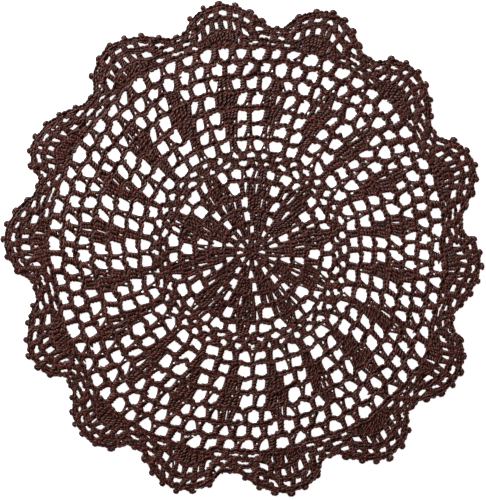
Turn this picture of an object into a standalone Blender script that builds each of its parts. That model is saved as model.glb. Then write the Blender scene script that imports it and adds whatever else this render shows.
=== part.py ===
"""Round crochet lace placemat, worked in one piece from the centre out and laid flat.

The mat is one flat solid. Its openings are cut through where the real lace is open by more than
4 mm, and its edge follows fourteen scallops, each with seven picots. +Z is up, the underside lies
in the plane Z = 0, and the origin is the centre of the first round. Angles run clockwise from +Y,
seen from above.
"""

import math
import random

import bpy

MM = 0.001

# Driving dimensions, in millimetres and degrees.
THICKNESS = 3.0
CORNER_CUT = 0.24       # share of a window's side that each rounded corner takes
HAND_SLACK = 0.45       # how far a corner strays in hand work
SEED = 14

SCALLOPS = 14
SCALLOP_PITCH = 360.0 / SCALLOPS
SCALLOP_MIDDLE = 17.0   # angle of the first scallop's middle
EDGE_STEP = 1.1         # length of one side of the outline between picots

PICOT_AT = (-12.0, -7.2, -4.0, -0.8, 2.6, 5.9, 9.2)
PICOT_HEIGHT = 2.6
PICOT_HALF_WIDTH = 2.2
PICOT_TIP_HALF_WIDTH = 1.3

# The uneven lie of the mat: slow waves round it that pull its rounds in and out and swing them
# sideways. Both are measured at this radius and grow from nothing at the centre.
WAVE_RADIUS = 145.0
WAVE_GROWTH = 2.0
# waves round the mat, pull in mm, its angle, swing in degrees, its angle
WAVES = (
    (1, 2.0, -82.0, 1.20, 48.0),
    (2, 2.4, 8.0, 0.70, -16.0),
    (3, 0.8, 2.0, 0.45, -33.0),
    (4, 2.0, 39.0, 0.33, 14.5),
    (5, 1.1, -8.0, 0.23, -21.5),
    (6, 0.4, -26.5, 0.0, 0.0),
    (7, 0.9, 22.5, 0.0, 0.0),
)

# Each scallop's own swing in degrees and pull in mm, reached at its head
SCALLOP_FOOT_RADIUS = 150.0
SCALLOP_HEAD_RADIUS = 178.0
SCALLOP_OWN = (
    (-0.5, -2.6),
    (0.6, -1.0),
    (-0.1, 1.2),
    (-0.2, 0.0),
    (1.2, -1.5),
    (1.0, -0.4),
    (0.1, 3.0),
    (0.5, -0.5),
    (1.5, -6.0),
    (-1.3, 0.4),
    (-0.3, 0.0),
    (-1.4, -1.0),
    (-1.0, -1.5),
    (-0.3, 0.0),
)

# One scallop's edge, under its picots: degrees from the scallop's middle, radius in mm
SCALLOP_EDGE = (
    (-12.86, 162.0),
    (-9.7, 162.5),
    (-8.7, 166.0),
    (-7.8, 170.5),
    (-5.6, 173.0),
    (-2.5, 176.5),
    (0.6, 177.5),
    (3.9, 176.0),
    (5.0, 173.5),
    (7.5, 170.5),
    (8.8, 167.5),
    (10.8, 165.0),
    (12.85, 162.0),
)

# Windows of each open round: repeats round the mat, angle of the first repeat, inner and outer
# radius in mm, corner points of a window, and each window's sides as (left, right) at its inner
# edge and (left, right) at its outer edge, in degrees from the start of the repeat
WINDOWS = {
    "flower_eyes": (10, 0.0, 42.5, 51.2, 8, (((16.2, 24.4), (16.8, 23.8)),)),
    "mesh_1": (20, 0.0, 73.4, 80.6, 8, (((0.7, 6.1), (0.5, 6.1)), ((9.8, 15.8), (9.7, 16.1)))),
    "leaf_1": (20, 0.0, 83.5, 91.4, 8, (((0.1, 5.5), (0.8, 5.6)), ((9.6, 14.9), (11.6, 16.3)))),
    "leaf_2": (20, 0.0, 94.0, 102.3, 8, (((-0.4, 4.0), (0.1, 4.1)), ((10.7, 14.8), (13.0, 15.8)))),
    "leaf_3": (20, 0.0, 105.2, 114.4, 8, (((-0.9, 3.1), (0.3, 3.7)), ((11.7, 13.8), (13.8, 16.1)))),
    "leaf_4": (
        20, 0.0, 116.7, 124.8, 6,
        (((-2.3, 0.6), (-2.8, 1.0)), ((3.7, 5.2), (3.1, 6.3)), ((11.1, 13.0), (10.5, 13.7))),
    ),
    # The last two rounds are an even net of 70 windows each, cut here at twice their pitch.
    "net_1": (35, 0.0, 128.0, 136.2, 6, (((1.3, 10.1), (1.6, 10.5)),)),
    "net_2": (35, 0.0, 138.3, 146.3, 6, (((4.4, 13.2), (4.4, 13.4)),)),
}


def scallop_own(angle):
    """Own swing and pull of the scallops at an angle, blended from one scallop to the next."""
    place = (angle - SCALLOP_MIDDLE) / SCALLOP_PITCH
    first = math.floor(place)
    share = place - first
    swing_a, pull_a = SCALLOP_OWN[first % SCALLOPS]
    swing_b, pull_b = SCALLOP_OWN[(first + 1) % SCALLOPS]
    return swing_a + (swing_b - swing_a) * share, pull_a + (pull_b - pull_a) * share


def laid_out(angle, radius):
    """The point of the finished mat for an even round's angle in degrees and radius in mm."""
    reach = (radius / WAVE_RADIUS) ** WAVE_GROWTH
    height = (radius - SCALLOP_FOOT_RADIUS) / (SCALLOP_HEAD_RADIUS - SCALLOP_FOOT_RADIUS)
    height = max(0.0, height)
    own_swing, own_pull = scallop_own(angle)
    pull = own_pull * height
    swing = own_swing * height
    for waves, pull_mm, pull_at, swing_deg, swing_at in WAVES:
        pull += reach * pull_mm * math.cos(waves * math.radians(angle - pull_at))
        swing += reach * swing_deg * math.cos(waves * math.radians(angle - swing_at))
    r = (radius + pull) * MM
    a = math.radians(angle + swing)
    return (r * math.sin(a), r * math.cos(a))


def edge_radius(offset):
    """Radius in mm of the scalloped edge, offset degrees from a scallop's middle."""
    for (a0, r0), (a1, r1) in zip(SCALLOP_EDGE, SCALLOP_EDGE[1:]):
        if a0 <= offset <= a1:
            share = (offset - a0) / (a1 - a0)
            return r0 + (r1 - r0) * share
    return SCALLOP_EDGE[-1][1]


def picot(middle, offset):
    """Four points of a picot, a small knob that stands out from the edge."""
    root = edge_radius(offset)
    half_root = math.degrees(PICOT_HALF_WIDTH / root)
    half_tip = math.degrees(PICOT_TIP_HALF_WIDTH / root)
    return [
        (middle + offset - half_root, edge_radius(offset - half_root)),
        (middle + offset - half_tip, root + PICOT_HEIGHT),
        (middle + offset + half_tip, root + PICOT_HEIGHT),
        (middle + offset + half_root, edge_radius(offset + half_root)),
    ]


def outline():
    """The mat's edge, as (angle, radius) points: the picots, and the edge's own turns between them."""
    points = []
    for k in range(SCALLOPS):
        middle = SCALLOP_MIDDLE + k * SCALLOP_PITCH
        for offset in PICOT_AT:
            points += picot(middle, offset)
        half_root = math.degrees(PICOT_HALF_WIDTH / SCALLOP_EDGE[0][1])
        for offset, radius in SCALLOP_EDGE[:-1]:
            if all(abs(offset - p) > half_root + math.degrees(EDGE_STEP / radius) for p in PICOT_AT):
                points.append((middle + offset, radius))
    return sorted(points)


def window(sides, inner, outer, start, corner_points, hand):
    """One opening, as (angle, radius) points: four corners, all or two of them cut round."""
    (in_left, in_right), (out_left, out_right) = sides
    corners = []
    for angle, radius in (
        (in_left, inner),
        (in_right, inner),
        (out_right, outer),
        (out_left, outer),
    ):
        stray = HAND_SLACK * hand.uniform(-1, 1)
        side_stray = math.degrees(HAND_SLACK * hand.uniform(-1, 1) / radius)
        corners.append((start + angle + side_stray, radius + stray))
    points = []
    for i, (angle, radius) in enumerate(corners):
        before = corners[i - 1]
        after = corners[(i + 1) % 4]
        if corner_points == 8 or i % 2 == 0:
            for other in (before, after):
                points.append(
                    (
                        angle + (other[0] - angle) * CORNER_CUT,
                        radius + (other[1] - radius) * CORNER_CUT,
                    )
                )
        else:
            inset = CORNER_CUT / 3
            opposite = corners[(i + 2) % 4]
            points.append(
                (
                    angle + (opposite[0] - angle) * inset,
                    radius + (opposite[1] - radius) * inset,
                )
            )
    return points


def add_loop(curve, points):
    """A closed straight-sided loop in a 2D curve."""
    spline = curve.splines.new("POLY")
    spline.points.add(len(points) - 1)
    for place, (angle, radius) in zip(spline.points, points):
        x, y = laid_out(angle, radius)
        place.co = (x, y, 0.0, 1.0)
    spline.use_cyclic_u = True


def yarn_material():
    """Dark brown matt cotton."""
    material = bpy.data.materials.new("brown_cotton")
    material.use_nodes = True
    shader = material.node_tree.nodes["Principled BSDF"]
    shader.inputs["Base Color"].default_value = (0.045, 0.016, 0.012, 1.0)
    shader.inputs["Roughness"].default_value = 0.85
    shader.inputs["Metallic"].default_value = 0.0
    return material


def lace_mat(collection):
    """The whole mat: one flat outline with its windows cut through."""
    hand = random.Random(SEED)
    curve = bpy.data.curves.new("lace_mat", "CURVE")
    curve.dimensions = "2D"
    curve.fill_mode = "BOTH"
    curve.extrude = THICKNESS * MM / 2
    add_loop(curve, outline())
    for repeats, first, inner, outer, corner_points, windows in WINDOWS.values():
        pitch = 360.0 / repeats
        for k in range(repeats):
            for sides in windows:
                add_loop(curve, window(sides, inner, outer, first + k * pitch, corner_points, hand))
    curve.materials.append(yarn_material())
    mat = bpy.data.objects.new("lace_mat", curve)
    mat.location.z = THICKNESS * MM / 2
    collection.objects.link(mat)
    return mat


def main():
    for old in list(bpy.data.objects):
        bpy.data.objects.remove(old)
    collection = bpy.data.collections.new("crochet_lace_placemat")
    bpy.context.scene.collection.children.link(collection)
    lace_mat(collection)


main()
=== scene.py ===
# %% [markdown]
# This lesson builds a round crochet lace mat, about 355 mm across, as it is really made: from the
# centre out, round by round, out of one brown cotton yarn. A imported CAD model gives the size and
# the place of the mat. The script lays the real stitches where the flat CAD sheet lies.

# %% Load the frame
import math
import random

import bpy
import bmesh
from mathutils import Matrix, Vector


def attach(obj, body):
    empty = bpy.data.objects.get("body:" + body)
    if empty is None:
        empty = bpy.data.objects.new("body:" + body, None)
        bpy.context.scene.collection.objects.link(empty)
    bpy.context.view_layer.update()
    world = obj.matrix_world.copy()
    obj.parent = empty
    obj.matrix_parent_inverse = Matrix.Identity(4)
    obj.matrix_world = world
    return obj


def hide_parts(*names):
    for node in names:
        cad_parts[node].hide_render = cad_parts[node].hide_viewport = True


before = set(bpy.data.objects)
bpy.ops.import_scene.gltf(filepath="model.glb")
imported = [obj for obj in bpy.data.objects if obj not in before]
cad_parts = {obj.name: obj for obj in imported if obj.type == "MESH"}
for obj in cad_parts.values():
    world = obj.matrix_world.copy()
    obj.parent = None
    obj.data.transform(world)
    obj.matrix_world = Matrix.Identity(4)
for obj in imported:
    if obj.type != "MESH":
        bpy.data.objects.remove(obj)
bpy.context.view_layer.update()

MM = 0.001
SEED = 14

# %% [markdown]
# A hand-made mat is never a true circle. Slow waves round this one pull its rounds in and out and
# swing them sideways, and each scallop of the edge leans a little its own way. Every stitch is
# charted on even rounds first, and one function then lays its ends where the real mat has them.
# The CAD sheet is laid out by nearly the same numbers. Most of its edge is within 2 mm of this one.

# %% The lie of the mat
WAVE_RADIUS = 145.0
WAVE_GROWTH = 2.0
# waves round the mat, pull in mm, its angle, swing in degrees, its angle
WAVES = (
    (1, 2.0, -82.0, 1.20, 48.0),
    (2, 2.4, 8.0, 0.70, -16.0),
    (3, 0.8, 2.0, 0.45, -33.0),
    (4, 2.0, 39.0, 0.33, 14.5),
    (5, 1.1, -8.0, 0.23, -21.5),
    (6, 0.4, -26.5, 0.0, 0.0),
    (7, 0.9, 22.5, 0.0, 0.0),
)
# the centre of the flower lies this far off, in mm, which fades out at this radius
CENTRE_SHIFT = (0.5, -1.1)
CENTRE_FADE = 130.0
# the rounds of the leaves lie a little further in: mm, radius of the most, and how far it reaches
LEAF_PULL = (-0.6, 108.0, 16.0)
SCALLOPS = 14
SCALLOP_PITCH = 360.0 / SCALLOPS
SCALLOP_MIDDLE = 17.0
FOOT_RADIUS = 150.0
HEAD_RADIUS = 178.0
# each scallop's own swing in degrees and pull in mm, reached at its head
SCALLOP_OWN = (
    (0.6, -0.5), (-0.4, -1.8), (0.0, 0.5), (-1.3, -0.2), (-0.9, -1.5), (1.4, 1.4), (-0.2, 2.1),
    (0.1, 0.4), (2.2, -6.6), (-0.1, 1.9), (0.8, 0.4), (-1.2, -1.5), (-1.5, -1.8), (-0.7, -0.7),
)


def scallop_own(angle):
    """Own swing and pull of the scallops at an angle, blended from one scallop to the next."""
    place = (angle - SCALLOP_MIDDLE) / SCALLOP_PITCH
    first = math.floor(place)
    share = place - first
    swing_a, pull_a = SCALLOP_OWN[first % SCALLOPS]
    swing_b, pull_b = SCALLOP_OWN[(first + 1) % SCALLOPS]
    return swing_a + (swing_b - swing_a) * share, pull_a + (pull_b - pull_a) * share


def laid_out(angle, radius):
    """Where a charted point lies on the mat. Angles are clockwise degrees from +Y, radius in mm."""
    reach = (radius / WAVE_RADIUS) ** WAVE_GROWTH
    height = (radius - FOOT_RADIUS) / (HEAD_RADIUS - FOOT_RADIUS)
    height = max(0.0, height)
    own_swing, own_pull = scallop_own(angle)
    pull = own_pull * height
    swing = own_swing * height
    for waves, pull_mm, pull_at, swing_deg, swing_at in WAVES:
        pull += reach * pull_mm * math.cos(waves * math.radians(angle - pull_at))
        swing += reach * swing_deg * math.cos(waves * math.radians(angle - swing_at))
    pull += LEAF_PULL[0] * math.exp(-(((radius - LEAF_PULL[1]) / LEAF_PULL[2]) ** 2))
    r = (radius + pull) * MM
    a = math.radians(angle + swing)
    fade = max(0.0, 1.0 - radius / CENTRE_FADE) * MM
    x, y = CENTRE_SHIFT
    return Vector((r * math.sin(a) + x * fade, r * math.cos(a) + y * fade, 0.0))


print("a point charted at 0 degrees, 145 mm lies at", [round(v / MM, 1) for v in laid_out(0, 145)])

# %% [markdown]
# The chart is the heart of a crochet pattern. Each round ends in a rope of chain-like loops, and
# tall stitches stand between one rope and the next. The centre repeats ten times, the leaves
# twenty times, and the plain net seventy times, which are five windows under each scallop.

# %% The chart of the rounds
# radius in mm of the rope that ends each round, the first being the ring that round 1 stands on
ROPES = (
    3.6, 11.7, 20.6, 30.6, 41.1, 52.1, 61.0, 66.5,
    72.5, 81.7, 92.6, 104.1, 116.1, 126.5, 137.0, 147.6,
)
# how wide each of those ropes lies, as a share of a rope worked at ease
ROPE_WIDTHS = (
    0.80, 1.00, 1.00, 1.00, 1.10, 1.00, 0.88, 0.75,
    0.80, 1.00, 1.00, 1.12, 1.12, 1.08, 1.14, 1.10,
)
SCALLOP_ROPE_WIDTH = 0.86
# round that the stitches make, repeats, then the stitches as (angle of foot, angle of head)
CHART = (
    (1, 10, ((29.5, 29.5), (38.5, 38.5))),
    (2, 10, ((9.0, 8.8), (18.0, 17.4), (27.2, 26.6))),
    (3, 10, ((1.2, 0.8), (5.2, 5.4), (9.6, 10.2), (13.8, 14.4), (18.6, 19.4), (23.2, 23.8))),
    (4, 10, (
        (-3.2, -3.2), (1.2, 1.0), (5.6, 5.6), (10.0, 10.2), (14.4, 14.8), (18.8, 19.2),
        (23.2, 23.8),
    )),
    (5, 10, (
        (26.4, 26.0), (28.7, 28.5), (31.9, 33.4), (34.8, 36.4), (38.4, 39.0), (42.2, 42.4),
        (44.6, 44.8), (47.6, 47.8), (50.8, 51.2),
    )),
    (6, 10, (
        (1.0, 3.3), (4.3, 5.5), (7.5, 7.5), (10.9, 9.6), (18.8, 17.8), (20.2, 19.8),
        (31.0, 31.8),
    )),
    (7, 10, (
        (4.9, 4.7), (7.0, 7.0), (13.3, 13.4), (15.7, 15.6), (23.8, 23.8), (26.1, 26.0),
        (34.3, 34.4), (36.8, 36.6),
    )),
    (8, 10, (
        (2.2, 2.4), (4.3, 4.4), (10.8, 10.8), (13.2, 13.2), (20.2, 20.2), (22.4, 22.4),
        (29.0, 28.8), (31.4, 31.4),
    )),
    (9, 20, ((7.3, 7.3), (9.0, 9.0), (17.3, 17.3))),
    (10, 20, ((6.4, 6.8), (7.6, 8.6), (8.8, 10.4), (16.3, 17.3))),
    (11, 20, ((4.8, 5.2), (6.0, 6.9), (7.2, 8.6), (8.4, 10.2), (9.6, 11.7), (16.3, 16.9))),
    (12, 20, (
        (3.8, 4.5), (5.2, 6.1), (6.6, 7.8), (7.9, 9.3), (9.2, 10.9), (10.6, 12.5), (15.4, 17.0),
    )),
    (13, 20, ((2.2, 2.1), (5.8, 6.9), (7.4, 8.1), (9.0, 9.0), (10.6, 10.0), (14.4, 14.5))),
    (14, 70, ((0.4, 0.95),)),
    (15, 14, ((3.3, 3.6), (8.4, 8.9), (13.4, 13.9), (19.1, 19.4), (23.7, 24.1))),
)

print(len(ROPES), "ropes and", len(CHART), "charted rounds")

# %% [markdown]
# Hand work is uneven. Each stitch strays a little from its charted angle, each rope ripples, and a
# stitch pulls the ropes at its ends towards itself. All strays come from one seeded source.

# %% The unevenness of hand work
STRAY_MM = 0.6  # how far along its rope a stitch strays from the chart
END_STRAY_MM = 0.45  # how far in or out each end of a stitch strays
PULL_MM = 0.85  # how far stitches pull a rope
PULL_REACH = 2.3  # and over how many mm along it
FULL_RADIUS = 60.0  # radius in mm from which on ropes ripple and are pulled in full
SHELL_PULL = (0.8, 6.5)  # mm, and angle, of the wave that the shells put into the last rope

hand = random.Random(SEED)
# four waves round each rope, as (mm, how many, angle)
RIPPLE = [
    [(hand.uniform(0.2, 0.45), hand.randrange(9, 60), hand.uniform(0, 360)) for _ in range(4)]
    for _ in ROPES
]
# each stitch as (round, angle of foot, angle of head)
charted = []
# for each rope, the angles at which a stitch pulls it in (-1, a head) or out (1, a foot)
PULLS = [[] for _ in ROPES]
for index, repeats, pairs in CHART:
    pitch = 360.0 / repeats
    slack = math.degrees(STRAY_MM / ROPES[index])
    for k in range(repeats):
        for foot, head in pairs:
            a = k * pitch + foot + hand.gauss(0, slack)
            b = k * pitch + head + hand.gauss(0, slack)
            charted.append((index, a, b))
            PULLS[index - 1].append((a, 1))
            PULLS[index].append((b, -1))


def rope_radius(index, angle):
    """Radius of a rope at an angle. Stitches pull it in and out, and hand tension ripples it."""
    base = ROPES[index]
    share = min(1.0, base / FULL_RADIUS)
    shift = share * sum(d * math.sin(math.radians(n * angle + p)) for d, n, p in RIPPLE[index])
    if index == len(ROPES) - 1:
        # the shells pull the last rope out on one side of them and let it sag on the other
        pull_mm, at = SHELL_PULL
        shift -= pull_mm * math.cos(math.radians(SCALLOPS * (angle - at)))
    total = 0.0
    weights = 0.0
    for at, way in PULLS[index]:
        apart = math.radians((angle - at + 180) % 360 - 180) * base / PULL_REACH
        if abs(apart) < 3:
            weight = math.exp(-apart * apart)
            total += way * weight
            weights += weight
    return base + shift + PULL_MM * share * total / max(1.0, weights)


tall = [(i, (a, rope_radius(i - 1, a)), (b, rope_radius(i, b))) for i, a, b in charted]


def strayed(stitches):
    """The same stitches with each end moved in or out a little, as by hand."""
    return [
        ((a, r + hand.gauss(0, END_STRAY_MM)), (b, s + hand.gauss(0, END_STRAY_MM)))
        for (a, r), (b, s) in stitches
    ]


print(len(tall), "stitches in the rounds")

# %% [markdown]
# The edge is fourteen scallops. In each one a dense shell of tall stitches stands on the last
# round, a second row stands on the shell with slits between its stitches, and an arch of chains
# with small knots, called picots, goes over them. Three ropes run through each valley.

# %% The chart of one scallop
# paths as (angle from the start of the repeat, radius in mm)
SCALLOP_ROPES = {
    "shell_top": (
        (9.8, 151.6), (10.8, 151.8), (11.9, 153.8), (13.0, 156.6), (14.5, 158.8), (16.3, 159.7),
        (18.0, 159.4), (19.8, 157.6), (21.0, 154.8), (22.0, 153.0), (23.4, 152.4),
    ),
    "fan_top": (
        (10.2, 161.2), (11.0, 162.2), (12.5, 165.0), (14.0, 166.8), (16.3, 167.9),
        (18.2, 167.5), (20.0, 165.6), (21.5, 162.3), (23.0, 160.4), (24.4, 159.4),
    ),
    "fan_over": (
        (10.2, 163.4), (11.0, 164.4), (12.5, 166.8), (14.0, 168.2), (16.3, 169.2), (18.2, 168.8),
        (20.0, 167.2), (21.5, 164.8), (23.0, 163.0), (24.2, 162.0),
    ),
    "edge": (
        (2.6, 160.7), (4.9, 160.0), (7.0, 160.3), (8.0, 163.0), (9.3, 168.4), (10.5, 171.4),
        (12.8, 174.8), (14.6, 176.3), (16.9, 177.3), (19.8, 175.8), (21.6, 173.3), (23.4, 170.7),
        (25.2, 167.7), (26.9, 163.8), (28.3, 160.7),
    ),
    "edge_inside": (
        (9.9, 166.6), (10.9, 169.2), (12.9, 172.8), (14.7, 174.2), (16.9, 175.2),
        (19.6, 173.8), (21.3, 171.4), (23.1, 168.9), (24.6, 166.2), (25.4, 164.6),
    ),
    "valley_low": (
        (22.0, 152.4), (24.0, 152.9), (26.2, 152.4), (28.2, 151.6), (30.0, 151.5),
        (32.0, 151.4), (34.0, 151.9), (35.4, 152.0),
    ),
    "valley_high": (
        (24.0, 156.6), (25.7, 157.4), (27.2, 157.2), (29.7, 156.8), (32.0, 156.5), (34.0, 156.4),
        (35.0, 156.8),
    ),
}
# runs of stitches with openings between them, as (foot angle, foot radius, head angle, head radius)
SCALLOP_RUNS = {
    "shell": (
        (11.5, 147.8, 10.7, 151.4), (12.4, 147.8, 11.6, 153.0), (13.3, 147.7, 12.4, 155.4),
        (14.1, 147.6, 13.2, 157.2), (14.9, 147.7, 14.0, 158.4), (15.6, 147.8, 14.9, 159.2),
        (16.3, 147.9, 15.8, 159.7), (17.0, 147.9, 16.8, 159.7), (17.8, 147.9, 17.7, 159.5),
        (18.6, 147.8, 18.6, 158.9), (19.4, 147.7, 19.5, 157.9), (20.3, 147.7, 20.5, 156.4),
        (21.3, 147.8, 21.5, 154.6), (22.3, 147.8, 22.6, 153.2),
    ),
    "fan": (
        (9.1, 151.9, 10.1, 161.4), (12.4, 154.8, 11.9, 164.6), (14.2, 158.4, 14.2, 167.2),
        (16.5, 159.8, 16.5, 168.2), (18.8, 159.0, 18.8, 167.6), (20.6, 156.6, 21.2, 164.6),
        (24.4, 153.4, 24.0, 161.4),
    ),
    "flank": ((7.0, 156.8, 7.9, 162.2), (9.3, 157.0, 10.3, 165.0)),
    "arch": (
        (10.2, 164.0, 10.2, 170.8), (13.2, 166.8, 13.1, 174.6), (15.8, 168.6, 15.8, 176.0),
        (18.9, 168.2, 18.9, 175.4), (21.6, 164.8, 21.7, 172.4), (24.4, 162.0, 24.6, 168.2),
    ),
    "valley_1": (
        (22.8, 147.6, 22.7, 152.4), (26.9, 147.4, 26.9, 151.8), (32.1, 147.4, 32.1, 151.4),
        (33.0, 147.4, 33.0, 151.6), (36.4, 147.6, 36.1, 151.8),
    ),
    "valley_2": (
        (25.7, 152.4, 25.7, 157.2), (29.6, 151.4, 29.6, 156.6), (30.4, 151.4, 30.4, 156.6),
        (31.0, 151.4, 31.0, 156.4), (34.1, 151.8, 34.1, 156.4), (34.9, 151.8, 34.9, 156.6),
    ),
    "valley_3": (
        (24.5, 157.4, 24.3, 162.8), (27.9, 157.2, 27.9, 161.6), (28.6, 157.2, 28.6, 161.0),
        (29.4, 157.0, 29.4, 160.8), (30.0, 156.8, 30.0, 160.4), (32.4, 156.4, 32.4, 160.4),
    ),
}
# the stitches of these runs are worked in pairs, this far apart in degrees
PAIRED = {"fan": 0.50, "arch": 0.55, "valley_1": 0.6}
# angle of each picot, and how far in mm its knot stands out from the edge rope
PICOTS = ((5.2, 1.0), (10.0, 1.9), (13.4, 2.1), (16.9, 2.2), (20.2, 2.1), (23.4, 2.0), (26.7, 1.6))

print(len(SCALLOP_ROPES), "ropes and", len(SCALLOP_RUNS), "runs of stitches in a scallop")

# %% [markdown]
# The fourteen scallops are as uneven as the rest. Each end of a stitch strays by itself, and each
# rope passes near points that stray too. Some stitches are worked in pairs.

# %% From the chart to fourteen scallops
FOOT_STRAY = (0.18, 0.22)  # spread in degrees and in mm
HEAD_STRAY = (0.24, 0.22)
FEET_APART = 0.8  # how far apart the feet of a pair stand, as a share of its heads


def along(path, angle):
    """Radius of a charted path at an angle."""
    for (a0, r0), (a1, r1) in zip(path, path[1:]):
        if a0 <= angle <= a1:
            return r0 + (r1 - r0) * (angle - a0) / (a1 - a0)
    return path[0][1] if angle < path[0][0] else path[-1][1]


def stray_point(angle, radius, spread):
    """A charted point moved a little by hand, by a spread in degrees and in mm."""
    return angle + hand.gauss(0, spread[0]), radius + hand.gauss(0, spread[1])


def smooth_path(path, step=0.45, slack=0.0):
    """A charted path with more points, strayed by hand, then rounded by averaging neighbours."""
    path = [stray_point(a, r, (slack / 3, slack)) for a, r in path]
    path.sort()
    start = path[0][0]
    span = path[-1][0] - start
    count = max(3, int(span / step))
    angles = [start + span * i / count for i in range(count + 1)]
    radii = [along(path, a) for a in angles]
    for _ in range(2):
        inner = [(a + 2 * b + c) / 4 for a, b, c in zip(radii, radii[1:], radii[2:])]
        radii = [radii[0], *inner, radii[-1]]
    return list(zip(angles, radii))


def worked(stitches):
    """The scallops' stitches with the paired ones doubled. The two ends of a run stay single."""
    single = []
    for i, (run, k, foot, head) in enumerate(stitches):
        inner = 0 < i < len(stitches) - 1 and stitches[i - 1][:2] == stitches[i + 1][:2] == (run, k)
        apart = PAIRED.get(run, 0.0) / 2 if inner else 0.0
        for side in (-apart, apart) if apart else (0.0,):
            near = side * FEET_APART
            single.append((run, (foot[0] + near, foot[1]), (head[0] + side, head[1])))
    return single


# each stitch as (run, scallop, foot, head)
scallop_tall = []
for k in range(SCALLOPS):
    start = k * SCALLOP_PITCH
    for run, table in SCALLOP_RUNS.items():
        for a0, r0, a1, r1 in table:
            foot = stray_point(start + a0, r0, FOOT_STRAY)
            head = stray_point(start + a1, r1, HEAD_STRAY)
            scallop_tall.append((run, k, foot, head))
print(len(worked(scallop_tall)), "stitches in the scallops,", SCALLOPS * len(PICOTS), "picots")

# %% [markdown]
# Node trees are easier to read as arithmetic. The first class wraps a socket, so that an
# expression on wrapped sockets adds the Math nodes it needs. The second adds any other node.

# %% Sockets as values
def operator(operation, swapped=False):
    """A method that adds a Math node on its value and another."""
    def method(self, other):
        operands = (other, self) if swapped else (self, other)
        return self.nodes.add("ShaderNodeMath", {"operation": operation}, *operands)

    return method


class Value:
    """One output socket that can be used in an expression."""

    def __init__(self, nodes, socket):
        self.nodes = nodes
        self.socket = socket

    __add__ = operator("ADD")
    __radd__ = operator("ADD", swapped=True)
    __sub__ = operator("SUBTRACT")
    __rsub__ = operator("SUBTRACT", swapped=True)
    __mul__ = operator("MULTIPLY")
    __truediv__ = operator("DIVIDE")
    __pow__ = operator("POWER")
    __gt__ = operator("GREATER_THAN")

    def sine(self):
        return self.nodes.add("ShaderNodeMath", {"operation": "SINE"}, self)

    def clamped(self):
        return self.nodes.add("ShaderNodeClamp", {}, self, 0.0, 1.0)

    def part(self, axis):
        return self.nodes.add("ShaderNodeSeparateXYZ", {}, self, output=axis)


class Nodes:
    """Adds nodes to one tree, of geometry or of a shader."""

    def __init__(self, tree):
        self.tree = tree

    def add(self, kind, settings, *values, output=0, **named):
        """Adds a node, sets it, then fills its sockets in order or by name. Returns one output."""
        node = self.tree.nodes.new(kind)
        for name, value in settings.items():
            setattr(node, name, value)
        sockets = [s for s in node.inputs if s.enabled]
        for socket, value in zip(sockets, values):
            self.fill(socket, value)
        for name, value in named.items():
            wanted = name.replace("_", " ").lower()
            socket = next(s for s in sockets if s.name.lower() == wanted)
            self.fill(socket, value)
        outputs = [s for s in node.outputs if s.enabled]
        if isinstance(output, str):
            return Value(self, next(s for s in outputs if s.name == output))
        return Value(self, outputs[output])

    def noise(self, place, scale, detail):
        return self.add("ShaderNodeTexNoise", {}, place, scale=scale, detail=detail)

    def object_place(self):
        return self.add("ShaderNodeTexCoord", {}, output="Object")

    def blend(self, share, a, b):
        return self.add("ShaderNodeMix", {"data_type": "RGBA"}, share, A=a, B=b, output="Result")

    def random(self, kind, low, high, seed):
        settings = {"data_type": kind}
        return self.add("FunctionNodeRandomValue", settings, min=low, max=high, seed=seed)

    def stored(self, kind, name):
        return self.add("GeometryNodeInputNamedAttribute", {"data_type": kind}, name)

    def kept(self, geometry, label):
        """Geometry that keeps one of its spline parameters, and that parameter as a value."""
        node = self.tree.nodes.new("GeometryNodeCaptureAttribute")
        node.capture_items.new("FLOAT", label)
        self.fill(node.inputs[0], geometry)
        self.fill(node.inputs[1], self.add("GeometryNodeSplineParameter", {}, output=label))
        return Value(self, node.outputs[0]), Value(self, node.outputs[1])

    def fill(self, socket, value):
        """Links a wrapped socket, or sets a plain value. None leaves the socket as it is."""
        if isinstance(value, Value):
            self.tree.links.new(value.socket, socket)
        elif value is not None:
            socket.default_value = value


def geometry_tree(name, inputs):
    """A Geometry Nodes tree with named inputs. Returns the helper and the inputs as values."""
    tree = bpy.data.node_groups.new(name, "GeometryNodeTree")
    tree.interface.new_socket("Geometry", in_out="OUTPUT", socket_type="NodeSocketGeometry")
    for label, kind, default in inputs:
        socket = tree.interface.new_socket(label, in_out="INPUT", socket_type=kind)
        if default is not None:
            socket.default_value = default
    nodes = Nodes(tree)
    group = tree.nodes.new("NodeGroupInput")
    given = {s.name: Value(nodes, s) for s in group.outputs if s.name}
    return nodes, given


print("node helpers ready")

# %% [markdown]
# The yarn is brown mercerised cotton of three plies. Its ridges catch the light as fine flecks,
# which is most of what shows of it from above. Here those flecks are painted highlights, from a
# fine noise, and the grooves between the plies have painted shade. The twist is drawn with the
# tube's own UV map, where U goes round the yarn and V counts millimetres along it. Noise in Object
# coordinates varies the dye from place to place.

# %% The cotton yarn material
PLIES = 3
PLY_PITCH_MM = 4.2
# how much each pattern lightens the yarn between its dark and its light colour. The crests of the
# plies give painted shade in the grooves between them, the specks are painted highlights, and the
# fibre and the dye are the yarn's own tone.
PLY_SHADE_TONE = 0.30
FIBRE_TONE = 0.12
DYE_TONE = 0.30
PAINTED_GLINT_TONE = 0.75
TONE_OFF = 0.20
DARK = (0.0110, 0.0024, 0.0017, 1.0)
LIGHT = (0.205, 0.0490, 0.0325, 1.0)


def new_material(name):
    """A node material and its Principled shader."""
    material = bpy.data.materials.new(name)
    material.use_nodes = True
    shader = material.node_tree.nodes["Principled BSDF"]
    return material, Nodes(material.node_tree), shader


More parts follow.
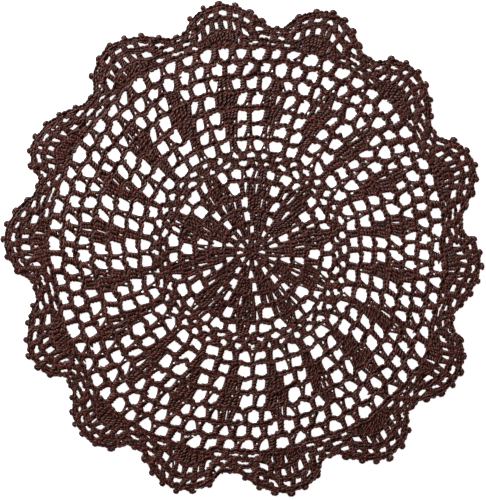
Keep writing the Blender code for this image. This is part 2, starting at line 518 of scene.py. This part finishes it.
def cotton_yarn():
    """Brown cotton yarn whose plies run round the tube."""
    material, nodes, shader = new_material("brown_cotton_yarn")
    uv = nodes.add("ShaderNodeUVMap", {"uv_map": "yarn"})
    u = uv.part("X")
    v = uv.part("Y")
    place = nodes.object_place()
    turn = (u * PLIES + v / PLY_PITCH_MM) * (2 * math.pi)
    crest = (turn.sine() * 0.5 + 0.5) ** 0.6
    fibre_at = nodes.add("ShaderNodeCombineXYZ", {}, u * 12 + v * 4.0, v * 0.9, 0.0)
    fibre = nodes.noise(fibre_at, scale=3.0, detail=2.0)
    dye = nodes.noise(place, scale=260.0, detail=3.0)
    # painted highlights: a fine noise lights up small specks of the yarn as glints of the lamp
    glint_noise = nodes.noise(place, scale=720.0, detail=1.0)
    glow = (glint_noise - 0.50).clamped() * 3.4
    # painted shade: the grooves between the plies are darker than their crests, and the fibre adds
    # the yarn's own tone
    ridges = crest * PLY_SHADE_TONE + fibre * FIBRE_TONE
    tone = (ridges + dye * DYE_TONE - TONE_OFF + glow * PAINTED_GLINT_TONE).clamped()
    nodes.fill(shader.inputs["Base Color"], nodes.blend(tone, DARK, LIGHT))
    nodes.fill(shader.inputs["Roughness"], 0.52 - crest * 0.12)
    bump = nodes.add(
        "ShaderNodeBump", {}, strength=0.8, distance=0.00022, height=crest * 0.8 + fibre * 0.35,
    )
    nodes.fill(shader.inputs["Normal"], bump)
    shader.inputs["Metallic"].default_value = 0.0
    shader.inputs["Specular IOR Level"].default_value = 0.28
    return material


yarn = cotton_yarn()
print(yarn.name, "has", len(yarn.node_tree.nodes), "nodes")

# %% [markdown]
# A stitch is a few short strands of yarn. A tall stitch has two legs that lean together, turns of
# yarn across its front, and a strand under its head. In some versions one more strand hooks over
# the rope at the foot, and the others show a small eye there. A loop of a rope is a V of two
# strands with a third along its back. Each strand is only a few points, because most shapes here
# are repeated hundreds of times. Three versions of each keep them from looking stamped.

# %% The strands of each stitch
TALL_LENGTH = 10.0
SHORT_LENGTH = 5.5
LOOP_LENGTH = 3.0
VERSIONS = 3
WRAP_STEPS = 4
WRAP_ARC = 250.0  # degrees that a turn of yarn goes round the stitch
WRAP_SIZE = (1.2, 0.85, 0.80)  # mm that it reaches to the side, along the stitch and up
WRAPS = (0.24, 0.47, 0.70)  # where turns of yarn cross the stitch, as shares of its length
HIGH_WRAPS = (0.42, 0.60, 0.78)  # the same with room for an eye over the foot
HIGHER_WRAPS = (0.44, 0.62, 0.79)


def tall_stitch(version, length=TALL_LENGTH, wraps=WRAPS, hook=1.0, spread=1.0):
    """Strands of a tall stitch, in mm, foot at the origin and head along +Y.

    Hook is how far its foot reaches over the rope below, and spread how far apart its legs stand.
    """
    sway = (0.0, 0.16, -0.14)[version]
    slide = (0.0, -0.04, 0.04)[version]
    strands = [
        [
            (side * 1.5 * spread, -0.6, -0.55 + 0.6 * (spread - 1)),
            (side * 0.90 * spread, 0.26 * length, -0.05 + side * 0.12),
            (side * 0.72 + sway, 0.62 * length, -0.05 - side * 0.12),
            (side * 0.55 - sway, 1.02 * length, -0.35),
        ]
        for side in (-1, 1)
    ]
    for at in wraps:
        middle = length * (at + slide)
        wrap = []
        for i in range(WRAP_STEPS + 1):
            a = math.radians(WRAP_ARC * (i / WRAP_STEPS - 0.5))
            x = WRAP_SIZE[0] * math.sin(a) + sway * 0.5
            y = middle + WRAP_SIZE[1] * math.sin(a) + 0.4 * a / math.pi
            wrap.append((x, y, WRAP_SIZE[2] * math.cos(a)))
        strands.append(wrap)
    under_head = [
        (-2.2, length - 0.4, -0.3),
        (-0.9, length - 1.6, 0.50),
        (0.8 + sway, length - 1.8, 0.58),
        (2.2, length - 0.5, -0.2),
    ]
    strands.append(under_head)
    if hook:
        side = (1, -1, 1)[version]
        over_rope = [
            (side * -1.3, -2.1 * hook, -0.2),
            (side * -0.7, -0.9 * hook, 0.40 + 0.45 * hook),
            (side * 0.3 + sway, 0.9, 0.55 + 0.35 * hook),
            (side * 1.1, 2.3, 0.1),
        ]
        strands.append(over_rope)
    return strands


def petal_stitch(version):
    """Strands of a tall stitch of the petals, in mm. One in three has an eye over the foot."""
    if version == 2:
        return tall_stitch(version, wraps=HIGH_WRAPS, hook=0.0, spread=1.4)
    return tall_stitch(version)


def post_stitch(version):
    """Strands of a tall stitch outside the petals, in mm. Two in three have an eye over the foot."""
    if version == 0:
        return tall_stitch(version, hook=0.5)
    return tall_stitch(version, wraps=HIGHER_WRAPS, hook=0.0, spread=(1.6, 1.45)[version - 1])


def short_stitch(version):
    """Strands of a short stitch, in mm, with one wrap."""
    return tall_stitch(version, SHORT_LENGTH, (0.42,), hook=0.4)


def chain_loop(version):
    """Strands of one loop of a rope, in mm, pointing along +Y."""
    open_by = (1.24, 1.38, 1.12)[version]
    lift = (0.50, 0.40, 0.58)[version]
    tilt = (0.0, 0.30, -0.32)[version]
    front = [
        [
            (side * 0.10, -0.9, -0.55),
            (side * open_by * 0.85 + tilt, 0.0, lift + side * tilt),
            (side * open_by + tilt, 1.4, lift * 0.8 + side * tilt),
            (side * 0.25, 2.9, -0.75),
        ]
        for side in (-1, 1)
    ]
    return front + [[(0.2, -0.5, -0.75), (-0.2, 2.7, -0.75)]]


def picot_knot(version):
    """A picot, in mm: three chains drawn up into one small coil that stands out along +Y."""
    coil = []
    for i in range(12):
        a = math.radians(200 + 50 * i + 25 * version)
        size = 1.7 - 0.11 * i
        coil.append((size * math.sin(a), size * math.cos(a), -0.7 + 0.13 * i))
    return [coil]


def add_spline(curve, points, closed=False):
    """A spline with straight sides through points given in metres."""
    spline = curve.splines.new("POLY")
    spline.points.add(len(points) - 1)
    for place, point in zip(spline.points, points):
        place.co = (*point, 1.0)
    spline.use_cyclic_u = closed


def stitch_collection(make):
    """A collection of curve objects, one for each version of a stitch."""
    name = make.__name__
    collection = bpy.data.collections.new(name)
    for version in range(VERSIONS):
        curve = bpy.data.curves.new(f"{name}_{version}", "CURVE")
        curve.dimensions = "3D"
        for strand in make(version):
            add_spline(curve, [[c * MM for c in point] for point in strand])
        collection.objects.link(bpy.data.objects.new(f"{name}_{version}", curve))
    return collection


PATTERNS = {
    "petal": stitch_collection(petal_stitch),
    "post": stitch_collection(post_stitch),
    "short": stitch_collection(short_stitch),
    "loop": stitch_collection(chain_loop),
    "picot": stitch_collection(picot_knot),
}

# %% [markdown]
# Two small trees do the repeating. One sets a stitch on each charted foot, stretched towards its
# head. The other walks along a rope and sets a loop at every step. Both sweep the strands into
# closed yarn first, and end in Realize Instances and Set Material.

# %% Yarn from strands
YARN_MM = 1.78
ROPE_YARN_MM = 1.95  # fuller, as a rope's loops also hold the feet of the next round
YARN_SIDES = 5
ROLL = 0.26  # how far a stitch leans to either side, in radians
NOD = 0.03  # and how far it tips forward or back


def yarn_tubes(nodes, given):
    """Closed tubes along the strands, with a UV map that goes round and along the yarn."""
    strands = nodes.add("GeometryNodeCollectionInfo", {}, given["Stitches"], True, False)
    strands, length = nodes.kept(strands, "Length")
    sides = given["Yarn Sides"]
    radius = given["Yarn Thickness"] / 2
    ring = nodes.add("GeometryNodeCurvePrimitiveCircle", {"mode": "RADIUS"}, sides, radius=radius)
    ring, around = nodes.kept(ring, "Factor")
    tube = nodes.add("GeometryNodeCurveToMesh", {}, strands, ring, fill_caps=True)
    # the last face of the ring reads 0 at its far corners, where the map has to read 1
    middle = nodes.add("GeometryNodeFieldOnDomain", {"domain": "FACE", "data_type": "FLOAT"}, around)
    closed = around + ((middle - around) > 0.3)
    uv = nodes.add("ShaderNodeCombineXYZ", {}, closed, length * 1000.0, 0.0)
    tube = nodes.add(
        "GeometryNodeStoreNamedAttribute", {"domain": "CORNER", "data_type": "FLOAT2"},
        tube, True, "yarn", uv,
    )
    return nodes.add("GeometryNodeSetShadeSmooth", {}, tube, True, True)


def place_and_finish(nodes, points, given, turn, scale):
    """Sets a version of the stitch on each point, loosened by hand, and ends the tree with it."""
    tubes = yarn_tubes(nodes, given)
    pick = nodes.random("INT", 0, VERSIONS - 1, given["Seed"])
    roll = nodes.random("FLOAT", -ROLL, ROLL, given["Seed"])
    nod = nodes.random("FLOAT", -NOD, NOD, given["Seed"] + 1)
    rotation = nodes.add("ShaderNodeCombineXYZ", {}, nod, roll, turn)
    placed = nodes.add(
        "GeometryNodeInstanceOnPoints", {}, points, True, tubes, True, pick, rotation, scale,
    )
    real = nodes.add("GeometryNodeRealizeInstances", {}, placed)
    done = nodes.add("GeometryNodeSetMaterial", {}, real, True, given["Material"])
    end = nodes.tree.nodes.new("NodeGroupOutput")
    nodes.fill(end.inputs[0], done)
    return nodes.tree


print("yarn is", YARN_MM, "mm thick, with", YARN_SIDES, "sides")

# %% [markdown]
# The stitches' tree reads a turn and a reach from each foot. The ropes' tree turns its loops along
# the rope, and varies the place, the width and the height of each one a little.

# %% Trees for stitches and for ropes
ROPE_SLACK_MM = 0.38  # how far hand tension moves a loop off its rope's line
LIFT_SLACK_MM = 0.1  # and how far up or down
LOOP_WIDTHS = (0.76, 1.24)
LOOP_HEIGHTS = (0.75, 1.1)
COMMON_INPUTS = (
    ("Stitches", "NodeSocketCollection", None),
    ("Yarn Thickness", "NodeSocketFloat", YARN_MM * MM),
    ("Yarn Sides", "NodeSocketInt", YARN_SIDES),
    ("Seed", "NodeSocketInt", SEED),
    ("Material", "NodeSocketMaterial", None),
)


def stitches_tree():
    """Sets stitches on feet. A foot has its turn in radians and its reach, a scale on each axis."""
    inputs = (("Feet", "NodeSocketGeometry", None), *COMMON_INPUTS)
    nodes, given = geometry_tree("stitches_on_feet", inputs)
    turn = nodes.stored("FLOAT", "turn")
    reach = nodes.stored("FLOAT_VECTOR", "reach")
    return place_and_finish(nodes, given["Feet"], given, turn, reach)


def ropes_tree():
    """Walks along paths and sets one loop at every step, pointing on along the path."""
    inputs = (
        ("Paths", "NodeSocketGeometry", None),
        ("Loop Length", "NodeSocketFloat", LOOP_LENGTH * MM),
        *COMMON_INPUTS,
    )
    nodes, given = geometry_tree("loops_along_ropes", inputs)
    curve = nodes.add("GeometryNodeMeshToCurve", {}, given["Paths"])
    steps = nodes.add(
        "GeometryNodeResampleCurve", {"mode": "LENGTH"}, curve, True, length=given["Loop Length"],
    )
    slack = (ROPE_SLACK_MM * MM, ROPE_SLACK_MM * MM, LIFT_SLACK_MM * MM)
    drift = nodes.random("FLOAT_VECTOR", tuple(-v for v in slack), slack, given["Seed"])
    steps = nodes.add("GeometryNodeSetPosition", {}, steps, True, offset=drift)
    loose = nodes.random("FLOAT", *LOOP_WIDTHS, given["Seed"] + 2)
    high = nodes.random("FLOAT", *LOOP_HEIGHTS, given["Seed"] + 3)
    width = nodes.stored("FLOAT", "width")
    scale = nodes.add("ShaderNodeCombineXYZ", {}, width * loose, 1.0, high)
    tangent = nodes.add("GeometryNodeInputTangent", {})
    across = 0.0 - tangent.part("X")
    turn = nodes.add("ShaderNodeMath", {"operation": "ARCTAN2"}, across, tangent.part("Y"))
    return place_and_finish(nodes, steps, given, turn, scale)


STITCHES_ON_FEET = stitches_tree()
LOOPS_ALONG_ROPES = ropes_tree()
print("trees:", STITCHES_ON_FEET.name, LOOPS_ALONG_ROPES.name)

# %% [markdown]
# A tree's result becomes a plain mesh at once: the modifier is evaluated, its result is copied, and
# the modifier goes. How wide a stitch is drawn depends on the room that its neighbours leave it.

# %% From feet and paths to plain pieces
MID = 2.0 * MM
ROPE_LIFT = 0.1 * MM
CROWDED_MM = 2.6  # a stitch this close to its neighbour is drawn finest
ROOM_MM = 2.0  # and one with this much more room is drawn fullest
FINE_WIDTH = 0.92
WIDTH_GAIN = 0.40
WIDTH_STRAY = (0.76, 1.14)


def put(name, data):
    """An object with this data, put in the scene at the origin."""
    made = bpy.data.objects.new(name, data)
    bpy.context.scene.collection.objects.link(made)
    return made


def made_plain(name, mesh, tree, values):
    """Runs a tree on a mesh and returns an object with the plain result."""
    base = put(name + "_base", mesh)
    modifier = base.modifiers.new("worked", "NODES")
    modifier.node_group = tree
    sockets = {s.name: s.identifier for s in tree.interface.items_tree if s.in_out == "INPUT"}
    for label, value in values.items():
        modifier[sockets[label]] = value
    base.update_tag()
    depsgraph = bpy.context.evaluated_depsgraph_get()
    plain = bpy.data.meshes.new_from_object(base.evaluated_get(depsgraph), depsgraph=depsgraph)
    bpy.data.objects.remove(base)
    plain.name = name
    triangles = sum(len(p.vertices) - 2 for p in plain.polygons)
    print(name, "has", triangles, "triangles")
    return put(name, plain)


def widths(feet, heads, fullness):
    """How wide each stitch is drawn: fuller where it stands alone, finer in a crowd."""
    middles = [(f + h) / 2 for f, h in zip(feet, heads)]
    made = []
    for i, here in enumerate(middles):
        near = min((here - other).length for j, other in enumerate(middles) if j != i)
        room = min(1.0, max(0.0, (near / MM - CROWDED_MM) / ROOM_MM))
        made.append(fullness * (FINE_WIDTH + WIDTH_GAIN * room) * hand.uniform(*WIDTH_STRAY))
    return made


def feet_mesh(name, stitches, nominal, fullness):
    """Points for stitches given as (foot, head) in the chart, with turn and reach stored on them."""
    mesh = bpy.data.meshes.new(name)
    feet = [laid_out(*foot) for foot, head in stitches]
    heads = [laid_out(*head) for foot, head in stitches]
    mesh.from_pydata([f + Vector((0, 0, MID)) for f in feet], [], [])
    turn = mesh.attributes.new("turn", "FLOAT", "POINT")
    reach = mesh.attributes.new("reach", "FLOAT_VECTOR", "POINT")
    for i, (foot, head, width) in enumerate(zip(feet, heads, widths(feet, heads, fullness))):
        way = head - foot
        turn.data[i].value = math.atan2(-way.x, way.y)
        reach.data[i].vector = (width, way.length / (nominal * MM), 1.0)
    return mesh


def paths_mesh(name, paths):
    """Edges along charted paths. A path is its points, True if it is closed, and its rope's width."""
    points = []
    edges = []
    rope_widths = []
    for path, closed, width in paths:
        first = len(points)
        points += [laid_out(*p) + Vector((0, 0, MID + ROPE_LIFT)) for p in path]
        rope_widths += [width] * len(path)
        last = len(points) - 1
        edges += [(i, i + 1) for i in range(first, last)]
        if closed:
            edges.append((last, first))
    mesh = bpy.data.meshes.new(name)
    mesh.from_pydata(points, edges, [])
    kept = mesh.attributes.new("width", "FLOAT", "POINT")
    for place, width in zip(kept.data, rope_widths):
        place.value = width
    return mesh


def work_stitches(name, stitches, pattern, nominal, fullness=1.0):
    values = {"Stitches": PATTERNS[pattern], "Material": yarn}
    feet = feet_mesh(name + "_feet", stitches, nominal, fullness)
    return made_plain(name, feet, STITCHES_ON_FEET, values)


def work_ropes(name, paths):
    values = {"Stitches": PATTERNS["loop"], "Yarn Thickness": ROPE_YARN_MM * MM, "Material": yarn}
    return made_plain(name, paths_mesh(name + "_paths", paths), LOOPS_ALONG_ROPES, values)


def ring_path(index):
    count = max(24, int(ROPES[index] * 4))
    angles = [360.0 * i / count for i in range(count)]
    return [(a, rope_radius(index, a)) for a in angles], True, ROPE_WIDTHS[index]


print("stitches lie", MID / MM, "mm over the table")

# %% [markdown]
# Now the mat is worked in its four parts, from the centre out: the flower, the ring of leaves, the
# plain net and the scallops. Each has one piece for its ropes and one or more for its stitches. The
# last two rounds of the flower, its rim, have short stitches.

# %% Work the round part
# name, first and last round, its tall stitch, and how full its stitches are
PARTS = (
    ("flower", 1, 8, "petal", 0.84),
    ("leaf", 9, 13, "post", 1.02),
    ("net", 14, 15, "post", 1.24),
)
START_RING = (1.4, 0.8)  # radius in mm and width of the drawn-up ring in the middle
RIM_ROUNDS = (7, 8)
RIM_FULLNESS = 1.2
pieces = []
for part, first, last, pattern, fullness in PARTS:
    rings = [ring_path(i) for i in range(0 if first == 1 else first, last + 1)]
    if first == 1:
        radius, width = START_RING
        rings.append(([(a, radius) for a in range(0, 360, 15)], True, width))
    pieces.append(work_ropes(part + "_ropes", rings))
    rounds = [i for i in range(first, last + 1) if i not in RIM_ROUNDS]
    long_ones = strayed([(f, h) for i, f, h in tall if i in rounds])
    pieces.append(work_stitches(part + "_stitches", long_ones, pattern, TALL_LENGTH, fullness))
short_ones = [(f, h) for i, f, h in tall if i in RIM_ROUNDS]
rim = work_stitches("flower_rim_stitches", short_ones, "short", SHORT_LENGTH, RIM_FULLNESS)
pieces.append(rim)

# %% [markdown]
# A picot is three chains closed into a tiny knot that stands out square to the edge, whose slope is
# measured a little to either side of it.

# %% Work the scallops
SLOPE_HALF = 0.9  # degrees
PICOT_STRAY = (0.12, 0.15)  # spread in degrees and in mm
PATH_STRAY_MM = 0.35


def picot_stitches():
    """Each picot as (foot, head), in a line square to the edge rope and 1 mm apart."""
    edge = SCALLOP_ROPES["edge"]
    stitches = []
    for k in range(SCALLOPS):
        for angle, stand in PICOTS:
            radius = along(edge, angle)
            rise = along(edge, angle + SLOPE_HALF) - along(edge, angle - SLOPE_HALF)
            run = math.radians(2 * SLOPE_HALF) * radius
            size = math.hypot(rise, run)
            out = (-rise / size, run / size)
            middle, stand = stray_point(k * SCALLOP_PITCH + angle, stand, PICOT_STRAY)
            ends = (stand, stand + 1.0)
            stitches.append(
                [(middle + math.degrees(out[0] * d / radius), radius + out[1] * d) for d in ends]
            )
    return stitches


edge_paths = []
for k in range(SCALLOPS):
    for path in SCALLOP_ROPES.values():
        line = [(k * SCALLOP_PITCH + a, r) for a, r in smooth_path(path, slack=PATH_STRAY_MM)]
        edge_paths.append((line, False, SCALLOP_ROPE_WIDTH))
pieces.append(work_ropes("scallop_ropes", edge_paths))
pieces.append(work_stitches("picots", picot_stitches(), "picot", 1.0))
single = worked(scallop_tall)
longs = [(f, h) for run, f, h in single if run in ("shell", "fan")]
shorts = [(f, h) for run, f, h in single if run not in ("shell", "fan")]
pieces.append(work_stitches("scallop_stitches", longs, "post", TALL_LENGTH))
pieces.append(work_stitches("arch_stitches", shorts, "short", SHORT_LENGTH))

# %% [markdown]
# Between the strands that show, real stitches are full of yarn. That inner yarn is one thin web,
# hidden under the stitches. Each of its openings lies between two neighbouring stitches and the
# two ropes. Where the stitches stand close it is only a short slit, or none. Sizes are in mm.

# %% An opening between two stitches
STRIP_HALF = 0.75  # half the width of the web along a stitch
ROPE_HALF = 0.85  # and along a rope
OPEN_GAP = 1.7  # from this width on an opening is cut whole
SLIT_GAP = 0.6  # and from this one as a short slit
LEAST_HEIGHT = 1.2
NARROW_END = 0.5  # an opening narrower than this at one end comes to a point there
SHUT_END = 0.3  # a slit keeps away from an end that is narrower than this
SWAY_WIDTH = 4.0  # an opening wider than this follows its ropes
SLIT_STARTS = (0.05, 0.55)  # shares of the way from the foot to the head
SLIT_LENGTHS = (0.12, 0.28)


def rounded(corners, cut=0.24):
    """Cuts each corner of a loop of (angle, radius) points."""
    points = []
    for i, (angle, radius) in enumerate(corners):
        for a, r in (corners[i - 1], corners[(i + 1) % len(corners)]):
            points.append((angle + (a - angle) * cut, radius + (r - radius) * cut))
    return points


def blend_point(a, b, share):
    """The point at a share of the way from one charted point to another."""
    return a[0] + (b[0] - a[0]) * share, a[1] + (b[1] - a[1]) * share


def gap_between(left, right, slit_share, index=None):
    """The opening between two stitches, or None where they stand close."""
    sides = []
    for ((a0, r0), (a1, r1)), way in ((left, 1), (right, -1)):
        slope = (a1 - a0) / (r1 - r0)
        low = r0 + ROPE_HALF
        high = r1 - ROPE_HALF
        low_a = a0 + slope * ROPE_HALF + way * math.degrees(STRIP_HALF / low)
        high_a = a1 - slope * ROPE_HALF + way * math.degrees(STRIP_HALF / high)
        sides.append(((low_a, low), (high_a, high)))
    (low_l, high_l), (low_r, high_r) = sides
    low_width = math.radians(low_r[0] - low_l[0]) * low_l[1]
    high_width = math.radians(high_r[0] - high_l[0]) * high_l[1]
    mean = (low_width + high_width) / 2
    height = max(high_l[1], high_r[1]) - min(low_l[1], low_r[1])
    if mean < SLIT_GAP or height < LEAST_HEIGHT:
        return None
    corners = [low_l, low_r, high_r, high_l]
    if mean < OPEN_GAP:
        if hand.random() > slit_share:
            return None
        start = hand.uniform(*SLIT_STARTS)
        if min(low_width, high_width) < SHUT_END:
            start = SLIT_STARTS[1] if low_width < high_width else SLIT_STARTS[0]
        end = start + hand.uniform(*SLIT_LENGTHS)
        left = [blend_point(low_l, high_l, share) for share in (start, end)]
        right = [blend_point(low_r, high_r, share) for share in (start, end)]
        corners = [left[0], right[0], right[1], left[1]]
    elif low_width < NARROW_END:
        corners = [blend_point(low_l, low_r, 0.5), high_r, high_l]
    elif high_width < NARROW_END:
        corners = [low_l, low_r, blend_point(high_l, high_r, 0.5)]
    elif index and high_width > SWAY_WIDTH and low_width > SWAY_WIDTH:
        low_a = (low_l[0] + low_r[0]) / 2
        high_a = (high_l[0] + high_r[0]) / 2
        low_middle = (low_a, rope_radius(index - 1, low_a) + ROPE_HALF)
        high_middle = (high_a, rope_radius(index, high_a) - ROPE_HALF)
        corners = [low_l, low_middle, low_r, high_r, high_middle, high_l]
    return rounded(corners)


print("gaps are cut from", SLIT_GAP, "mm on, and whole from", OPEN_GAP, "mm on")

# %% [markdown]
# The rounds are searched from the centre out, then the scallops. From the third round on the web
# also has a small eye over the foot of each stitch that stands free.

# %% Every opening of the web
# share of the close gaps that have a slit: up to this round, beyond it, and in the scallops
CENTRE_ROUNDS = 6
CENTRE_SLITS = 0.9
OUTER_SLITS = 0.25
SCALLOP_SLITS = 0.5
FIRST_EYES = 3  # round from which on stitches have eyes
EYE_ROOM = 2.2  # a foot this far from its neighbours has an eye over it
EYE_HALF = 0.52  # half the width of an eye
EYE_REACH = (1.1, 3.2)  # where it starts and ends over the foot
EDGE_COVER = 0.3  # how far the web reaches past the middle of the edge rope


def round_gaps():
    """The openings between neighbouring stitches of each round."""
    gaps = []
    for index in range(1, len(ROPES)):
        ring = (s[1:] for s in tall if s[0] == index)
        stitches = sorted(ring, key=lambda s: s[0][0] + s[1][0])
        (a0, r0), (a1, r1) = stitches[0]
        stitches.append(((a0 + 360, r0), (a1 + 360, r1)))
        share = CENTRE_SLITS if index <= CENTRE_ROUNDS else OUTER_SLITS
        gaps += [gap_between(a, b, share, index) for a, b in zip(stitches, stitches[1:])]
    return [g for g in gaps if g]


def foot_eyes():
    """A small opening over the foot of each stitch that stands free there."""
    eyes = []
    low, high = EYE_REACH
    for index in range(FIRST_EYES, len(ROPES)):
        ring = sorted(s[1:] for s in tall if s[0] == index)
        for i, ((a0, r0), (a1, r1)) in enumerate(ring):
            before = (a0 - ring[i - 1][0][0]) % 360
            after = (ring[(i + 1) % len(ring)][0][0] - a0) % 360
            if math.radians(min(before, after)) * r0 < EYE_ROOM:
                continue
            slope = (a1 - a0) / (r1 - r0)
            half = math.degrees(EYE_HALF / r0)
            corners = ((low, -half), (low, half), (high, half), (high, -half))
            eyes.append([(a0 + slope * d + side, r0 + d) for d, side in corners])
    return eyes


def scallop_gaps():
    """The openings between neighbouring stitches of each run of the scallops."""
    gaps = []
    for k in range(SCALLOPS):
        for run in SCALLOP_RUNS:
            stitches = [s[2:] for s in scallop_tall if s[:2] == (run, k)]
            gaps += [gap_between(a, b, SCALLOP_SLITS) for a, b in zip(stitches, stitches[1:])]
    return [g for g in gaps if g]


def web_outline():
    """The outer edge of the web."""
    return [
        (k * SCALLOP_PITCH + angle, radius + EDGE_COVER)
        for k in range(SCALLOPS)
        for angle, radius in smooth_path(SCALLOP_ROPES["edge"])[:-1]
    ]


loops = [web_outline(), *round_gaps(), *foot_eyes(), *scallop_gaps()]
print(len(loops) - 1, "openings")

# %% [markdown]
# The web is a flat curve, filled round its holes and given its thickness.

# %% The web inside the stitches
WEB_MM = 0.8
# painted shade on the web, which lies deep between the stitches:
CORE_PAINTED_SHADE = 0.5  # how light its light colour is beside the yarn's


def core_material():
    """The same cotton seen deep between the stitches, made darker with painted shade, with a fine
    grain.
    """
    material, nodes, shader = new_material("brown_cotton_core")
    place = nodes.object_place()
    grain = nodes.noise(place, scale=1400.0, detail=3.0)
    lump = nodes.noise(place, scale=420.0, detail=2.0)
    tone = (grain * 0.7 + lump * 0.6 - 0.45).clamped()
    # painted shade: the light colour is darkened, as for yarn that lies deep between the stitches
    light = tuple(CORE_PAINTED_SHADE * c for c in LIGHT[:3]) + (1.0,)
    nodes.fill(shader.inputs["Base Color"], nodes.blend(tone, DARK, light))
    nodes.fill(shader.inputs["Roughness"], 0.78 + grain * 0.15)
    bump = nodes.add("ShaderNodeBump", {}, strength=0.9, distance=0.0004, height=lump + grain * 0.4)
    nodes.fill(shader.inputs["Normal"], bump)
    return material


def inner_web():
    """The web, as a closed mesh, and its flat area in square metres."""
    curve = bpy.data.curves.new("inner_web", "CURVE")
    curve.dimensions = "2D"
    curve.fill_mode = "BOTH"
    curve.extrude = WEB_MM * MM / 2
    for loop in loops:
        add_spline(curve, [laid_out(*point) for point in loop], closed=True)
    drawn = bpy.data.objects.new("inner_web_curve", curve)
    mesh = bpy.data.meshes.new_from_object(drawn)
    bpy.data.objects.remove(drawn)
    work = bmesh.new()
    work.from_mesh(mesh)
    bmesh.ops.remove_doubles(work, verts=work.verts, dist=1e-7)
    bmesh.ops.translate(work, verts=work.verts, vec=(0, 0, MID))
    bmesh.ops.recalc_face_normals(work, faces=work.faces)
    open_edges = sum(1 for e in work.edges if not e.is_manifold)
    area = sum(f.calc_area() for f in work.faces if f.normal.z > 0.9)
    work.to_mesh(mesh)
    work.free()
    mesh.materials.clear()
    mesh.materials.append(core_material())
    print(len(mesh.polygons), "faces,", open_edges, "open edges,", round(area, 4), "m2")
    return put("inner_web", mesh), area


web, web_area = inner_web()

# %% [markdown]
# Every piece rides on the one body and stands for the CAD sheet, which is hidden.

# %% Seat the pieces
for piece in [web, *pieces]:
    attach(piece, "root")
    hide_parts("lace_mat")
print(len(pieces) + 1, "pieces")

# %% [markdown]
# The stage is a plain white table top that glows a little, so that shadows on it stay pale. One
# lamp stands at the back left, and weak even light comes from all round.

# %% Stage and light
TABLE_HALF = 3.0
WHITE = (0.92, 0.92, 0.92, 1.0)
GREYER = (0.9062, 0.9062, 0.9062, 1.0)
LAMP_PLACE = (-1.2, 1.3, 0.9)
LAMP_SIZE = 0.4
LAMP_WATTS = 70.0
ROUND_LIGHT = 0.14


def white_table():
    """Matt white, hardly mottled, that glows."""
    material, nodes, shader = new_material("white_table")
    faint = nodes.noise(nodes.object_place(), scale=3.0, detail=1.0)
    mixed = nodes.blend(faint, WHITE, GREYER)
    nodes.fill(shader.inputs["Base Color"], mixed)
    nodes.fill(shader.inputs["Emission Color"], mixed)
    shader.inputs["Emission Strength"].default_value = 1.0
    shader.inputs["Roughness"].default_value = 0.9
    return material


table = bpy.data.meshes.new("stage_floor")
turns = ((-1, -1), (1, -1), (1, 1), (-1, 1))
table.from_pydata([(x * TABLE_HALF, y * TABLE_HALF, 0) for x, y in turns], [], [(0, 1, 2, 3)])
table.materials.append(white_table())
put("stage_floor", table)

light = bpy.data.lights.new("key", "AREA")
light.shape = "DISK"
light.size = LAMP_SIZE
light.energy = LAMP_WATTS
lamp = put("key", light)
lamp.location = LAMP_PLACE
lamp.rotation_euler = (-Vector(LAMP_PLACE)).to_track_quat("-Z", "Y").to_euler()

world = bpy.data.worlds.new("studio")
world.use_nodes = True
background = world.node_tree.nodes["Background"]
background.inputs["Color"].default_value = (1.0, 1.0, 1.0, 1.0)
background.inputs["Strength"].default_value = ROUND_LIGHT
bpy.context.scene.world = world
bpy.context.scene.view_settings.view_transform = "Standard"
print("one lamp of", LAMP_WATTS, "W")

# %% [markdown]
# The camera looks straight down, as in a catalogue picture. It hangs high and its lens is long,
# which keeps the edge of the mat as flat as its middle.

# %% Camera
MM_PER_PIXEL = 0.7257
FRAME_HEIGHT = 500  # pixels
CAMERA_PLACE = (-5.6 * MM, 0.5 * MM, 1.8)
SENSOR_MM = 24.0
camera_data = bpy.data.cameras.new("camera")
camera_data.sensor_fit = "VERTICAL"
camera_data.sensor_height = SENSOR_MM
view_height = FRAME_HEIGHT * MM_PER_PIXEL * MM
camera_data.lens = SENSOR_MM * (CAMERA_PLACE[2] - MID) / view_height
camera = put("camera", camera_data)
camera.location = CAMERA_PLACE
bpy.context.scene.camera = camera
print("lens", round(camera_data.lens, 1), "mm")
